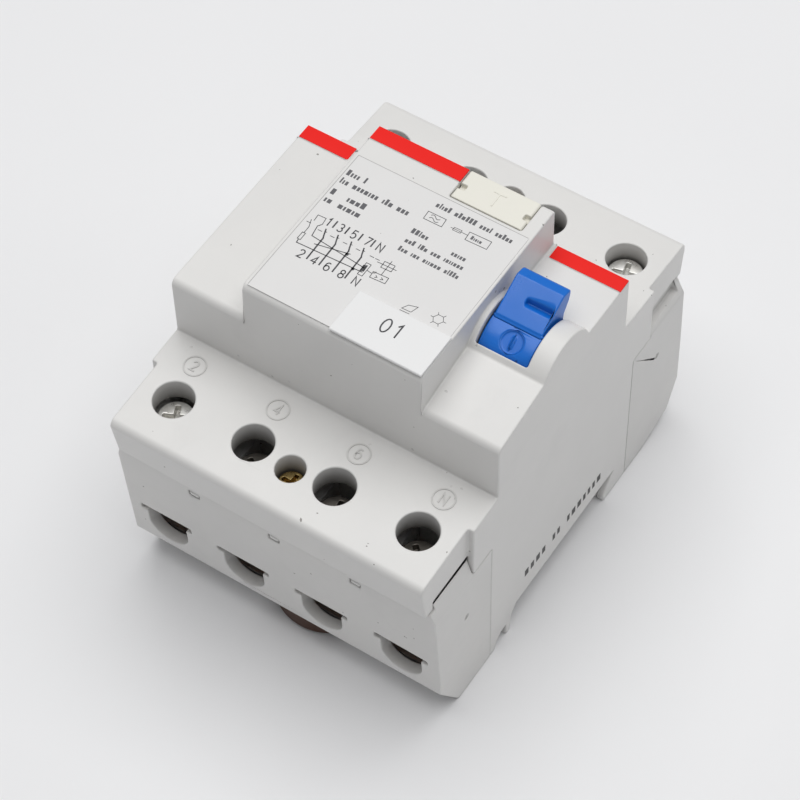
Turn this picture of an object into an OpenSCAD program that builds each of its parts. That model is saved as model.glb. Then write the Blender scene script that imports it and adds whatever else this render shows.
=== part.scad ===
// Residual current device, four pole, 35 mm rail mounting.
// X runs from left to right across the width, with zero at mid width.
// Y runs from the lower terminals to the upper ones, with zero at mid height.
// Z runs out from the mounting foot to the toggle.

/* [Housing] */
// Overall width, four modules
body_w = 71; // [70.8:0.1:71.2]
// Distance from mid height to the lower end of the terminal deck
end_near = 46.5; // [46.3:0.1:46.8]
// Distance from mid height to the upper end of the terminal deck
end_far = 46.5; // [46.3:0.1:46.8]
// Lower wall of the raised middle block
mid_near = 23.2; // [23.1:0.05:23.4]
// Upper wall of the raised middle block
mid_far = 21.7; // [21.6:0.05:21.9]
// Height of the terminal deck at its outer edge
deck_z = 51.1; // [50.8:0.1:51.4]
// Height of the shoulders of the middle block
shoulder_z = 67.2; // [67:0.1:67.5]
// Height of the nose with the name plate and the test button
nose_z = 77; // [76.8:0.1:77.4]
// Left side of the nose
nose_left = 19.0; // [18.8:0.1:19.2]
// Right side of the nose
nose_right = 19.3; // [19.2:0.05:19.3]
// Wall thickness of the moulded cover
wall = 1.7; // [1.6:0.05:1.8]

/* [Rail foot] */
// Height of the rail seat above the foot
seat_z = 6.8; // [6.6:0.1:7]
// Width of the rail latch
latch_w = 14.2; // [13:0.2:15]

/* [Terminals] */
// Distance between neighbouring poles
pitch = 17.9; // [17.8:0.05:18]
// Distance of the terminal screws from mid height
term_y = 36.3; // [36.1:0.1:36.5]
// Diameter of the screwdriver holes
hole_d = 8.0; // [7.8:0.1:8.2]
// Diameter of the terminal screw thread
screw_d = 5.0; // [4.8:0.1:5.0]
// Width of the cable entries at their top slot
entry_w = 11.9; // [11.6:0.1:12]
// Radius of the round part of the cable entries
entry_r = 4.5; // [4.3:0.1:4.6]
// Diameter of the holes over the housing screws
small_hole_d = 5.8; // [5.6:0.1:6]

/* [Toggle] */
// Radius of the toggle drum
drum_r = 7.7; // [7.6:0.05:7.75]
// Radius of the dome that covers the drum
dome_r = 8.6; // [8.5:0.05:8.7]
// Height of the toggle axle above the foot
axle_z = 65.2; // [65.1:0.05:65.3]
// Radius of the toggle axle
axle_r = 1.5; // [1.4:0.05:1.5]

/* [Inside] */
// Outer diameter of the summation transformer core
core_od = 28; // [26:0.5:28]
// Inner diameter of the summation transformer core
core_id = 17; // [16.5:0.5:17.5]
// Radius of the primary conductors
wire_r = 1.3; // [1.1:0.1:1.3]

/* [Hidden] */
$fn = 48;

overlap = 0.01;
bore_play = 0.06;            // added to a pin's radius for its bore
past = 60;                   // cutters run out to here, clear of the body
side_past = 40;              // the same, for cutters through the side walls

// Housing; pairs are [lower end, upper end] in Y
half_w = body_w / 2;
deck_inset = 1.3;            // the terminal ends are this much narrower on each side
tray_half_w = 33.85;         // outside of the middle tray of the base
inner_half_w = 32.4;         // inside of the tray and of the deck ends
cover_half_w = 33.95;        // inside of the cover around the tray
floor_z = 8.6;               // floor of the middle chamber
ledge_z = 38.02;             // level down to which the base is open across the middle
lower_top_z = 42.0;          // tops of the terminal blocks
upper_top_z = 43.4;
rim_y = [-42.75, 43.95];     // inner edges of the cut back end rims
base_side_y = [-31.4, 32.6]; // ends of the cut backs at the base's sides
cover_side_y = [-31.3, 32.5]; // ends of the cover's full width side walls
hollow_y = [-42.7, 43.9];    // ends of the hollow under the decks
roof_z = [49.2, 49.8];       // top of the hollow under the decks
snap_x = [-18, 0, 18];       // snap tongues at the lower end
body_screw_y = [-37.4, 37.6];
latch_x = 0.8;

// Test button and red strips
pocket_x = [1.05, 16.55];
pocket_y = 14.3;
pocket_z = 71.4;
button_play = 0.15;
button_pin_r = 1.5;
button_x = 8.8;              // axis of the button's pin
button_y = 17.9;
strip_depth = 0.3;
strip_play = 0.1;
right_strip_z = 67.34;       // seat of the strip right of the nose
// inner lower corner [x, y] of the strip seats: left shoulder, nose, right shoulder
strip_corner = [[-24.2, 18.15], [pocket_x[0], 18.1], [20.1, 18.3]];

// Terminals and copper
pole_x = [for (i = [0:3]) (i - 1.5) * pitch];
// [x, y] of the terminals: four at the lower end, then four at the upper, left to right
terminals = concat([for (x = pole_x) [x, -term_y]], [for (x = pole_x) [x, term_y + 0.2]]);
backed_out = [2.9, 0, 0, 0, 0, 0, 0, 4.6]; // how far each terminal screw stands out
chamber_half_w = 5.95;
chamber_z = 10.8;
strap_half_w = 4.1;
strap_t = 1.6;
tongue_z = 23.2;             // underside of the copper tongues
tongue_top = tongue_z + strap_t;
line_riser_y = 22.8;         // lower face of the upright part of the line straps
fixed_z = 36.0;              // underside of the line straps over the contacts
load_y = -22.6;              // inner end of the load straps

// Mechanism
axle_y = -0.9;
toggle_pin = [axle_y - 2.1, axle_z - 5.1]; // [y, z]
toggle_pin_r = 1.0;
frame_x = [19.4, 32.3];      // outer faces of the mechanism frame
link_x = [21.8, 23.2];
shaft_y = 4;                 // contact shaft
shaft_z = 22;
shaft_end = 31.9;
journal_r = 2.5;
crank_r = 13.6;
crank_lean = 9;              // angle by which the crank leans towards -Y
crank_pin = [shaft_y - crank_r * sin(crank_lean), shaft_z + crank_r * cos(crank_lean)];
arm_half_w = 2.5;
arm_play = 0.05;
arm_top_z = 33.5;
contact_y = 15.7;
trip_y = -7.5;               // trip lever pin
trip_z = 36;
trip_pin_r = 1.0;
relay_x = 26.9;              // trip relay axis
relay_y = -13.8;
plunger_r = 1.5;

// Summation transformer
core_x = -6.5;
core_z = 25.5;
core_y = [-18.4, -9.6];
case_y = [-19.6, -8.4];
case_play = 0.1;
// [x, z] of the four conductors inside the core window, left pole first
window = [[core_x - 2.3, core_z + 2.3], [pole_x[1], core_z - 1.9],
  [core_x + 2.3, core_z + 2.3], [core_x + 2.3, core_z - 2.3]];
stepped = [0, 2, 3];         // poles whose conductor steps sideways into the window

// Test circuit
blade_x = -6;                // pivot of the contact blade
blade_z = 67.6;
resistor_y = 8;
resistor_z = 63;

// ---- Shared shapes ----

// 2D drawn in (Y, Z), extruded from x0 to x1
module along_x(x0, x1) {
  translate([x0, 0, 0]) rotate([90, 0, 90]) linear_extrude(x1 - x0) children();
}
// 2D drawn in (X, Z), extruded from y0 to y1
module along_y(y0, y1) {
  translate([0, y1, 0]) rotate([90, 0, 0]) linear_extrude(y1 - y0) children();
}
module box(x0, x1, y0, y1, z0, z1) {
  translate([x0, y0, z0]) cube([x1 - x0, y1 - y0, z1 - z0]);
}
// box centred on x in width
module mid_box(x, half, y0, y1, z0, z1) { box(x - half, x + half, y0, y1, z0, z1); }
// the same box at the right and, mirrored, at the left
module side_boxes(x0, x1, y0, y1, z0, z1) {
  box(x0, x1, y0, y1, z0, z1);
  box(-x1, -x0, y0, y1, z0, z1);
}
module rod_x(x0, x1, y, z, radius) {
  translate([x0, y, z]) rotate([0, 90, 0]) cylinder(r = radius, h = x1 - x0);
}
module rod_y(x, y0, y1, z, radius) {
  translate([x, y0, z]) rotate([-90, 0, 0]) cylinder(r = radius, h = y1 - y0);
}
module rod_z(x, y, z0, z1, radius) { translate([x, y, z0]) cylinder(r = radius, h = z1 - z0); }

// 2D cutter that rounds a convex corner whose material lies towards +x, +y
module corner_cut(radius) {
  difference() {
    translate([-1, -1]) square(radius + 1);
    translate([radius, radius]) circle(radius);
  }
}
// 2D cutter that rounds the edge between a wall at y and a top that climbs at the angle slope
// from height z; side = 1 when the material lies towards +Y
module brow_cut(y, z, radius, slope, side) {
  setback = radius / tan((90 + slope) / 2);
  difference() {
    polygon([[y - side * 0.3, z + 0.3], [y - side * 0.3, z - setback], [y, z - setback],
      [y + side * radius, z - setback],
      [y + side * setback * cos(slope), z + setback * sin(slope)]]);
    translate([y + side * radius, z - setback]) circle(radius);
  }
}
// straight round piece between two points, cut short at its ends
module straight(start, end, radius, start_cut, end_cut) {
  run = end - start;
  length = norm(run);
  translate(start + run * start_cut / length)
    rotate([0, acos(run[2] / length), atan2(run[1], run[0])])
      cylinder(r = radius, h = length - start_cut - end_cut);
}
// wire along a list of points, with a bead at every bend
module wire(points, radius) {
  last = len(points) - 1;
  cut = radius * 1.05;
  for (i = [0:last - 1])
    straight(points[i], points[i + 1], radius, i == 0 ? 0 : cut, i == last - 1 ? 0 : cut);
  for (i = [1:last - 1])
    translate(points[i]) rotate([17, 29, 41]) sphere(r = radius * 1.5, $fn = 32);
}
// flat-wire helical spring along +Z; its section is an arc of three steps
module coil(radius, half_t, height, turns) {
  step = 42;
  linear_extrude(height = height, twist = -360 * turns, slices = turns * 10, segments = 0, $fn = 0)
    polygon(concat(
      [for (i = [0:3]) (radius + half_t) * [cos(i * step), sin(i * step)]],
      [for (i = [3:-1:0]) (radius - half_t) * [cos(i * step), sin(i * step)]]));
}
// cross recess of a screw head, from z = 0 up
module cross_slot(half_length, half_slot, height) {
  mid_box(0, half_length, -half_slot, half_slot, 0, height);
  mid_box(0, half_slot, -half_length, half_length, 0, height);
}

// ---- Base ----

// side view of the lower half of the body, points [y, z]
module foot_outline(top) {
  polygon([[-44.5, top], [-44.4, 40.4], [-42.4, 10.3], [-36.6, 0.6], [-36, 0],
    [-17.7, 0], [-17.2, 4.9], [-15.6, seat_z], [21.3, seat_z], [17.5, 1.9], [17.5, 0.6],
    [18.1, 0], [32.3, 0], [42.8, 2.6], [46.4, 9.7], [46.2, 22], [45.4, 40.4], [45.4, top]]);
}
// part of the foot outline from y over the given length
module foot_part(top, y, length) {
  intersection() {
    foot_outline(top);
    translate([y, -1]) square([length, 60]);
  }
}
module foot_notch() {
  polygon([[-23.2, -1], [-19.2, -1], [-19.2, 3.7], [-21, 3.4], [-22.6, 2.0], [-23.2, 0]]);
}
// view of a terminal end along Y; its sides lean in between z0 and z1
module end_section(z0, z1, lean) {
  polygon([[-half_w, -1], [-half_w, z0], [-half_w + lean, z1], [half_w - lean, z1],
    [half_w, z0], [half_w, -1]]);
}
module entry_profile() {
  translate([0, 16.5]) circle(entry_r);
  translate([-entry_r, 16.5]) square([2 * entry_r, 3.2]);
  translate([-entry_w / 2, 19.6]) square([entry_w, 1.4]);
}
module base_blocks() {
  // lower terminal block
  intersection() {
    along_x(-half_w, half_w) foot_part(lower_top_z, -60, 35);
    along_y(-60, -20) end_section(37.6, lower_top_z, deck_inset);
  }
  // upper terminal block
  intersection() {
    along_x(-half_w, half_w) foot_part(upper_top_z, 26, 35);
    along_y(20, 60) end_section(38.4, upper_top_z, deck_inset + 1.0);
  }
  // middle tray
  along_x(-tray_half_w, tray_half_w) foot_part(38, -25.5, 52);
}
module base_rim_cuts() {
  // rim cut back for the end skirts of the cover
  mid_box(0, side_past, -past, rim_y[0], 40.4, past);
  mid_box(0, side_past, rim_y[1], past, 43.0, past);
  mid_box(0, 32.3, -45, -41.6, 40.4, past);
  mid_box(0, 33.8, rim_y[0], base_side_y[0], 40.3, past);
  // shoulders under the upper deck, set back from the side walls
  side_boxes(33.2, side_past, base_side_y[1], rim_y[1], 39.6, past);
  mid_box(0, 32.3, 42.6, 43.96, 40.4, past);
  mid_box(0, 32.3, -41.6, 42.6, ledge_z, past);
  // room for the cover's side walls next to the middle block
  side_boxes(tray_half_w, side_past, base_side_y[0], -20, 38, past);
  side_boxes(tray_half_w, side_past, 20, base_side_y[1], 38, past);
}
module terminal_cuts(x) {
  for (y = [[-39.8, -27], [28, 40.6]])
    mid_box(x, chamber_half_w, y[0], y[1], chamber_z, 40.3);
  for (y = [[-past, -39.7], [40.5, past]])
    along_y(y[0], y[1]) translate([x, 0]) entry_profile();
  // slots where the copper tongues pass the inner walls
  for (y = [[-27.5, -24.5], [25.5, 28.5]])
    mid_box(x, strap_half_w + 0.3, y[0], y[1], tongue_z - 0.3, tongue_top + 0.3);
}
module latch_channel() {
  mid_box(latch_x, latch_w / 2 + 0.15, -past, -15, -1, 5.0);
  mid_box(latch_x, latch_w / 2 + 1.3, -39, -15, 2.1, 3.7);
  mid_box(latch_x, 6.2, -22.6, -15, -1, 5.5);
}
module base_housing() {
  grey = [0.80, 0.79, 0.78];
  color(grey) difference() {
    base_blocks();
    base_rim_cuts();
    // open middle chamber
    mid_box(0, inner_half_w, -25, 26, floor_z, past);
    mid_box(0, past, -27, 28, ledge_z, past);
    for (x = pole_x) terminal_cuts(x);
    // windows for the snap tongues of the cover
    for (x = snap_x) {
      mid_box(x, 1.25, -50, -43.44, 36.2, 37.9);
      mid_box(x, 1.25, -43.45, -42.7, 36.2, 41);
    }
    latch_channel();
    along_x(-past, past) foot_notch();
    // mould gate dimples on the side walls, placed at [y, z]
    for (side = [-1, 1], place = [[-33.5, 26.3], [36, 28.3]])
      rod_x(side * half_w - 0.4, side * half_w + 0.4, place[0], place[1], 0.6);
    // bores for the housing screws
    for (y = body_screw_y) rod_z(0, y, 12, past, 1.5);
  }
  // peg that holds the spring of the rail latch
  color(grey) mid_box(latch_x, 1.4, -35.3, -34.0, 2.7, 5.1);
  // posts of the housing screws
  color(grey) for (y = body_screw_y) difference() {
    rod_z(0, y, chamber_z - 0.2, 38.4, 3.05);
    rod_z(0, y, 12, past, 1.5);
  }
}

// ---- Cover ----

// profile of a terminal deck in (Y, Z); side = -1 at the lower end, 1 at the upper end,
// and the y values are distances from mid height
module deck_profile(side, end_y, foot_y, inner_y, edge_z, rise, bottom_z) {
  difference() {
    polygon([[side * foot_y, bottom_z], [side * end_y, 49.6], [side * end_y, edge_z],
      [side * inner_y, edge_z + rise], [side * inner_y, bottom_z]]);
    brow_cut(side * end_y, edge_z, 1.55, atan(rise / (end_y - inner_y)), -side);
  }
}
module lower_deck(bottom_z) { deck_profile(-1, end_near, 45.2, 20, deck_z, 1.7, bottom_z); }
module upper_deck(bottom_z) { deck_profile(1, end_far, 45.6, 18, deck_z + 0.7, 1.9, bottom_z); }
// shoulder right of the nose with its ramp and dome
module right_profile() {
  difference() {
    union() {
      polygon([[-mid_near, 40], [-mid_near, shoulder_z - 0.1], [-9.2, 69.6], [-4, 69.4],
        [-4, 67.9], [mid_far, 67.6], [mid_far, 40]]);
      translate([axle_y, axle_z]) circle(dome_r, $fn = 96);
    }
    brow_cut(-mid_near, shoulder_z - 0.1, 1.5, atan((69.7 - shoulder_z) / (mid_near - 9.2)), 1);
    // limit at the lower wall
    translate([-mid_near - 30, 0]) square([30, 100]);
  }
}
module block_profile(top) {
  difference() {
    translate([-mid_near, 40]) square([mid_near + mid_far, top - 40]);
    translate([-mid_near, top]) rotate(-90) corner_cut(1.5);
    translate([mid_far, top]) rotate(180) corner_cut(0.8);
  }
}
// skirt of the middle block, down to the rail
module skirt_profile() {
  difference() {
    union() {
      foot_part(40, -25.0, 51);
      translate([cover_side_y[0], 38.1]) square([cover_side_y[1] - cover_side_y[0], 13]);
    }
    foot_notch();
  }
}
module cover_walls() {
  // terminal decks: full width beside the block, narrower at the ends
  along_x(-half_w + deck_inset, half_w - deck_inset) lower_deck(40.6);
  along_x(-half_w + deck_inset, half_w - deck_inset) upper_deck(43.2);
  along_x(-half_w, half_w) intersection() {
    lower_deck(38.1);
    translate([cover_side_y[0], 0]) square([20, 100]);
  }
  along_x(-half_w, half_w) intersection() {
    upper_deck(38.1);
    translate([12.5, 0]) square([20, 100]);
  }
  along_x(-half_w, half_w) skirt_profile();
  along_x(-half_w, -nose_left + overlap) block_profile(shoulder_z);
  along_x(-nose_left, nose_right) block_profile(nose_z);
  along_x(nose_right - overlap, half_w) right_profile();
}
module cover_hollows() {
  lower_y = -mid_near + wall;
  upper_y = mid_far - wall;
  // side slots between cover and base at the ends
  side_boxes(30, past, rim_y[0], cover_side_y[0], 0, 43.1);
  side_boxes(30, past, cover_side_y[1], rim_y[1], 0, 43.9);
  // hollow of the decks
  mid_box(0, inner_half_w, hollow_y[0], -20, 0, roof_z[0]);
  mid_box(0, inner_half_w, 19, hollow_y[1], 0, roof_z[1]);
  mid_box(0, cover_half_w, cover_side_y[0], -20, 0, roof_z[0]);
  mid_box(0, cover_half_w, 19, cover_side_y[1], 0, roof_z[1]);
  // hollow of the middle block and of the nose
  mid_box(0, cover_half_w, lower_y, upper_y, -1, shoulder_z - wall);
  box(-nose_left + wall, nose_right - wall, lower_y, upper_y, 0, nose_z - wall);
  // room under the ramp and the dome
  box(nose_right + overlap, cover_half_w, -7, 5.3, 60, 67.7);
  rod_x(nose_right + overlap, cover_half_w, axle_y, axle_z, dome_r - wall);
}
// guide tubes of the terminal screws and the housing screws
module guide_tubes() {
  for (place = terminals)
    rod_z(place[0], place[1], 46.7, place[1] < 0 ? 49.4 : 50, 5.7);
  for (y = body_screw_y) {
    rod_z(0, y, 38.5, 42, 3.1);
    rod_z(0, y, 41.5, 49.9, 4.1);
  }
}
module cover_openings() {
  for (place = terminals) rod_z(place[0], place[1], 40, past, hole_d / 2);
  for (y = body_screw_y) {
    rod_z(0, y, 44.3, past, small_hole_d / 2);
    rod_z(0, y, 38, past, 1.7);
  }
  // opening for the toggle drum
  rod_x(20.4, 31.3, axle_y, axle_z, drum_r + 0.15);
  box(20.4, 31.3, -7.34, 7.1, axle_z, 75);
  // test button pocket, open towards the upper wall
  box(pocket_x[0], pocket_x[1], pocket_y, mid_far + 1, pocket_z, nose_z + 1);
  rod_z(button_x, button_y, 60, 75, button_pin_r + bore_play);
  // seats of the red strips
  box(-half_w - 1, strip_corner[0][0], strip_corner[0][1], mid_far + 1,
    shoulder_z - strip_depth, shoulder_z + 1);
  box(-nose_left - 1, strip_corner[1][0], strip_corner[1][1], mid_far + 1,
    nose_z - strip_depth, nose_z + 1);
  box(strip_corner[2][0], half_w + 1, strip_corner[2][1], mid_far + 1, right_strip_z, 70);
}
module top_cover() {
  grey = [0.88, 0.87, 0.86];
  color(grey) difference() {
    union() {
      difference() {
        cover_walls();
        cover_hollows();
      }
      guide_tubes();
      // walls of the test button pocket
      box(-0.2, 17.8, 13.2, mid_far - wall + overlap, 70.2, nose_z - 1);
    }
    cover_openings();
  }
  // snap tongues
  color(grey) for (x = snap_x) along_x(x - 0.95, x + 1.15)
    polygon([[-43.4, 41.2], [-43.4, 37.75], [-44.16, 37.75], [-44.16, 36.65],
      [-42.76, 36.65], [-42.76, 41.2]]);
}

label_t = 0.12;
module front_label() {
  color([0.93, 0.93, 0.91]) box(-18.2, 18.7, -22.4, 13.5, nose_z, nose_z + label_t);
}
module marker_card() {
  card_t = 0.55;
  color([0.96, 0.96, 0.95]) along_x(-0.2, 19.2) difference() {
    translate([-23.1, nose_z + label_t]) square([10, card_t]);
    translate([-23.1, nose_z + label_t + card_t]) rotate(-90) corner_cut(0.3);
  }
}
module accent_strips() {
  proud = 0.02;
  top_y = mid_far - 0.15;
  color([0.90, 0.20, 0.17]) {
    box(-half_w + strip_play, strip_corner[0][0] - strip_play, strip_corner[0][1] + strip_play,
      top_y, shoulder_z - strip_depth, shoulder_z + proud);
    box(-nose_left + strip_play, strip_corner[1][0] - strip_play,
      strip_corner[1][1] + strip_play, top_y, nose_z - strip_depth, nose_z + proud);
    box(strip_corner[2][0] + strip_play, half_w - strip_play, strip_corner[2][1] + strip_play,
      top_y, right_strip_z, 67.62);
  }
}
module housing_screws() {
  head_z = 44.3;
  color([0.80, 0.66, 0.35]) for (y = body_screw_y) difference() {
    union() {
      rod_z(0, y, head_z, 47.1, 2.6);
      rod_z(0, y, 14, head_z + overlap, 1.45);
    }
    translate([0, y, 45.7]) cross_slot(2, 0.4, 2.3);
  }
}

// ---- Rail latch ----

module din_latch() {
  color([0.35, 0.18, 0.08]) difference() {
    union() {
      // tongue with its rounded grip
      intersection() {
        mid_box(latch_x, latch_w / 2, -44, -17.9, 0.6, 4.8);
        rod_z(latch_x, -28.3, 0, 6, 11.3);
      }
      mid_box(latch_x, latch_w / 2, -32, -17.9, 0.6, 4.8);
      mid_box(latch_x, latch_w / 2 + 1.1, -33, -19, 2.3, 3.5);
      // wedge nose under the rail edge
      along_x(latch_x - 6, latch_x + 6)
        polygon([[-18, 0.9], [-15.4, 0.9], [-13.3, 4.2], [-13.3, 5.3], [-16.8, 5.3],
          [-16.8, 4.8], [-18, 4.8]]);
    }
    // screwdriver slot in the grip and pocket of the return spring
    mid_box(latch_x, 2.6, -38.4, -37.2, 0, 6);
    mid_box(latch_x, 2.2, -35.6, -22, 2.2, 6);
  }
}
module latch_spring() {
  color([0.75, 0.75, 0.77])
    translate([latch_x, -33.9, 3.65]) rotate([-90, 0, 0]) coil(1.1, 0.22, 11.8, 8);
}

// ---- Toggle and mechanism ----

// side view of the leaning finger, points [y, z]
module finger_profile() {
  polygon([[-3.4, 69], [-1.6, 73.35], [5.5, 76.85], [5.9, 76.9], [7.8, 76.45], [8.25, 76.0],
    [8.1, 75.2], [7.7, 74.0], [6.9, 72.9], [6.1, 71.8], [5.9, 70.6], [5.2, 69.6], [2, 68]]);
}
module toggle_lever() {
  blue = [0.10, 0.37, 0.80];
  color(blue) difference() {
    union() {
      rod_x(20.6, 31.1, axle_y, axle_z, drum_r);
      along_x(20.9, 30.9) finger_profile();
    }
    // locking pocket across the finger
    along_x(25.0, 30.45) polygon([[0.8, 77.5], [1.15, 74.94], [3.0, 73.86], [3.0, 77.5]]);
    // round position mark on the drum, with a raised bar
    translate([26.4, axle_y, axle_z]) rotate([29.4, 0, 0]) translate([0, 0, drum_r - 0.6])
      difference() {
        cylinder(r = 2.2, h = 2);
        translate([-0.3, -1.25, -1]) cube([0.6, 2.5, 4]);
      }
    rod_x(20, 32, axle_y, axle_z, axle_r + bore_play);
    // slot of the link, open below
    box(21.5, 23.5, -12, 12, 50, axle_z - 2.1);
    // hollow in the right side
    rod_x(28.5, 32, axle_y, axle_z, 4.2);
  }
  // crank pin across the slot
  color(blue) rod_x(21.4, 23.6, toggle_pin[0], toggle_pin[1], toggle_pin_r);
}
module toggle_axle() {
  color([0.75, 0.75, 0.77]) rod_x(frame_x[0], frame_x[1], axle_y, axle_z, axle_r);
}
module drive_link() {
  // eye of the crank pin, with play for the swing of the crank
  eye = crank_pin + [0.01, 0.29];
  color([0.72, 0.72, 0.74]) difference() {
    union() {
      rod_x(link_x[0], link_x[1], toggle_pin[0], toggle_pin[1], 2.35);
      rod_x(link_x[0], link_x[1], eye[0], eye[1], 2.6);
      along_x(link_x[0], link_x[1]) polygon([toggle_pin + [-2.1, 0], toggle_pin + [2.1, 0],
        eye + [2.2, 0], eye + [-2.2, 0]]);
    }
    rod_x(20, 25, toggle_pin[0], toggle_pin[1], toggle_pin_r + bore_play);
    rod_x(20, 25, eye[0], eye[1], 1.3);
  }
}
module mechanism_frame() {
  plate_t = 1;
  color([0.62, 0.63, 0.65]) difference() {
    union() {
      for (x = [frame_x[0], frame_x[1] - plate_t]) along_x(x, x + plate_t) {
        translate([axle_y, axle_z]) circle(4.2);
        polygon([[-11.5, 33], [-4.5, 33], [2.5, 46], [3.3, axle_z], [-5.1, axle_z],
          [-11.5, 50]]);
      }
      box(frame_x[0], frame_x[1], -12.5, -11.4, 33, 50);
    }
    rod_x(10, 40, axle_y, axle_z, axle_r);
    rod_x(10, 40, trip_y, trip_z, trip_pin_r);
    // window around the trip lever
    box(24.0, 29.8, -16, -10, 30, 46);
  }
}
module opening_spring() {
  color([0.78, 0.78, 0.80]) translate([29.0, -3.2, 41]) coil(1.5, 0.25, 14, 10);
}

// ---- Contacts and straps ----

// side view of a contact arm, widened by play for its slot
module arm_profile(play = 0) {
  root = [shaft_y + 1.5, shaft_z + 1.3];
  polygon([root + [-1.3 - play, 1.0 + play], root + [0.2, -0.9 - play * 1.5],
    [18 + play, 31.6], [18 + play, arm_top_z + play], [13.4, arm_top_z + play]]);
}
module contact_shaft() {
  color([0.25, 0.24, 0.23]) difference() {
    union() {
      rod_x(-30.3, 30.3, shaft_y, shaft_z, 4.2);
      rod_x(-shaft_end, shaft_end, shaft_y, shaft_z, journal_r);
      // carriers that hold the contact arms
      for (x = pole_x) along_x(x - 3.6, x + 3.6)
        polygon([[shaft_y - 3, shaft_z + 2], [shaft_y + 2, shaft_z - 3.4],
          [shaft_y + 6.6, shaft_z + 1.2], [shaft_y + 3.2, shaft_z + 6.2]]);
      // crank towards the link
      along_x(19.9, 21.6) translate([shaft_y, shaft_z]) rotate(crank_lean) {
        polygon([[-2.4, 0], [2.4, 0], [1.8, crank_r], [-1.8, crank_r]]);
        translate([0, crank_r]) circle(1.8);
      }
      rod_x(21.5, 23.3, crank_pin[0], crank_pin[1], 0.9);
    }
    // slots of the arms
    for (x = pole_x) along_x(x - arm_half_w - arm_play, x + arm_half_w + arm_play)
      arm_profile(arm_play);
  }
}
module contact_arms() {
  color([0.80, 0.50, 0.30])
    for (x = pole_x) along_x(x - arm_half_w, x + arm_half_w) arm_profile();
}
module moving_contact_tips() {
  color([0.85, 0.85, 0.86])
    for (x = pole_x) rod_z(x, contact_y, arm_top_z, 34.75, 1.9);
}
module fixed_contact_tips() {
  color([0.85, 0.85, 0.86]) for (x = pole_x) rod_z(x, contact_y, 34.8, fixed_z, 2.1);
}
module contact_springs() {
  color([0.75, 0.72, 0.62]) for (x = pole_x) along_x(x - 1.8, x + 1.8)
    polygon([[10.65, 23.3], [10.95, 23.15], [16.4, 29.9], [16.2, 30.1]]);
}
module line_straps() {
  outer_y = 40.1;
  tip_y = 13.2;
  color([0.80, 0.52, 0.32]) for (x = pole_x) along_x(x - strap_half_w, x + strap_half_w)
    polygon([[outer_y, tongue_z], [outer_y, tongue_top], [line_riser_y + strap_t, tongue_top],
      [line_riser_y + strap_t, fixed_z + strap_t], [tip_y, fixed_z + strap_t],
      [tip_y, fixed_z], [line_riser_y, fixed_z], [line_riser_y, tongue_z]]);
}
module load_straps() {
  outer_y = -39.5;
  post_top = [29.7, 25.7, 29.7, 25.7];
  color([0.80, 0.52, 0.32]) for (i = [0:3]) {
    along_x(pole_x[i] - strap_half_w, pole_x[i] + strap_half_w)
      polygon([[outer_y, tongue_z], [load_y, tongue_z], [load_y, tongue_top],
        [outer_y, tongue_top]]);
    mid_box(pole_x[i], 2, load_y - strap_t, load_y, tongue_top - overlap, post_top[i]);
  }
}
module rotor_bearings() {
  bearing_t = 1.4;
  color([0.45, 0.45, 0.46]) for (x = [-shaft_end, shaft_end - bearing_t]) difference() {
    union() {
      box(x, x + bearing_t, shaft_y - 5, shaft_y + 5, floor_z, shaft_z);
      rod_x(x, x + bearing_t, shaft_y, shaft_z, 5);
    }
    rod_x(-40, 40, shaft_y, shaft_z, journal_r + bore_play);
  }
}
module pole_partitions() {
  shaft_room = 4.6;
  color([0.30, 0.29, 0.28]) for (x = [-pitch, 0, pitch]) difference() {
    mid_box(x, 0.8, -1.6, 25.8, floor_z, 38.6);
    rod_x(x - 5, x + 5, shaft_y, shaft_z, shaft_room);
    mid_box(x, 5, -3, shaft_y, shaft_z - shaft_room, past);
  }
}

// ---- Summation transformer and conductors ----

// ring around the transformer axis, from y0 to y1
module ring(y0, y1, outer_r, inner_r) {
  translate([core_x, y1, core_z]) rotate([90, 0, 0])
    rotate_extrude($fn = 96) translate([inner_r, 0]) square([outer_r - inner_r, y1 - y0]);
}
module toroid_core() {
  color([0.40, 0.41, 0.44]) ring(core_y[0], core_y[1], core_od / 2, core_id / 2);
}
module toroid_case() {
  black = [0.15, 0.16, 0.18];
  color(black) difference() {
    ring(case_y[0], case_y[1], core_od / 2 + 1.0, core_id / 2 - 1.0);
    ring(core_y[0] - case_play, core_y[1] + case_play,
      core_od / 2 + case_play, core_id / 2 - case_play);
  }
  // foot of the case
  color(black) difference() {
    mid_box(core_x, 6, case_y[0], case_y[1], floor_z, core_z - 11.5);
    ring(-30, 0, core_od / 2 + 0.9, 0);
  }
}
module secondary_winding() {
  core_t = core_od / 2 - core_id / 2;
  color([0.72, 0.32, 0.14]) for (angle = [27:14:153])
    translate([core_x, -14, core_z]) rotate([0, -angle, 0])
      translate([(core_od + core_id) / 4, 0, 0]) difference() {
        cube([core_t + 4.4, 13.6, 1.3], center = true);
        cube([core_t + 2.2, 11.4, 3], center = true);
      }
}
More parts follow.
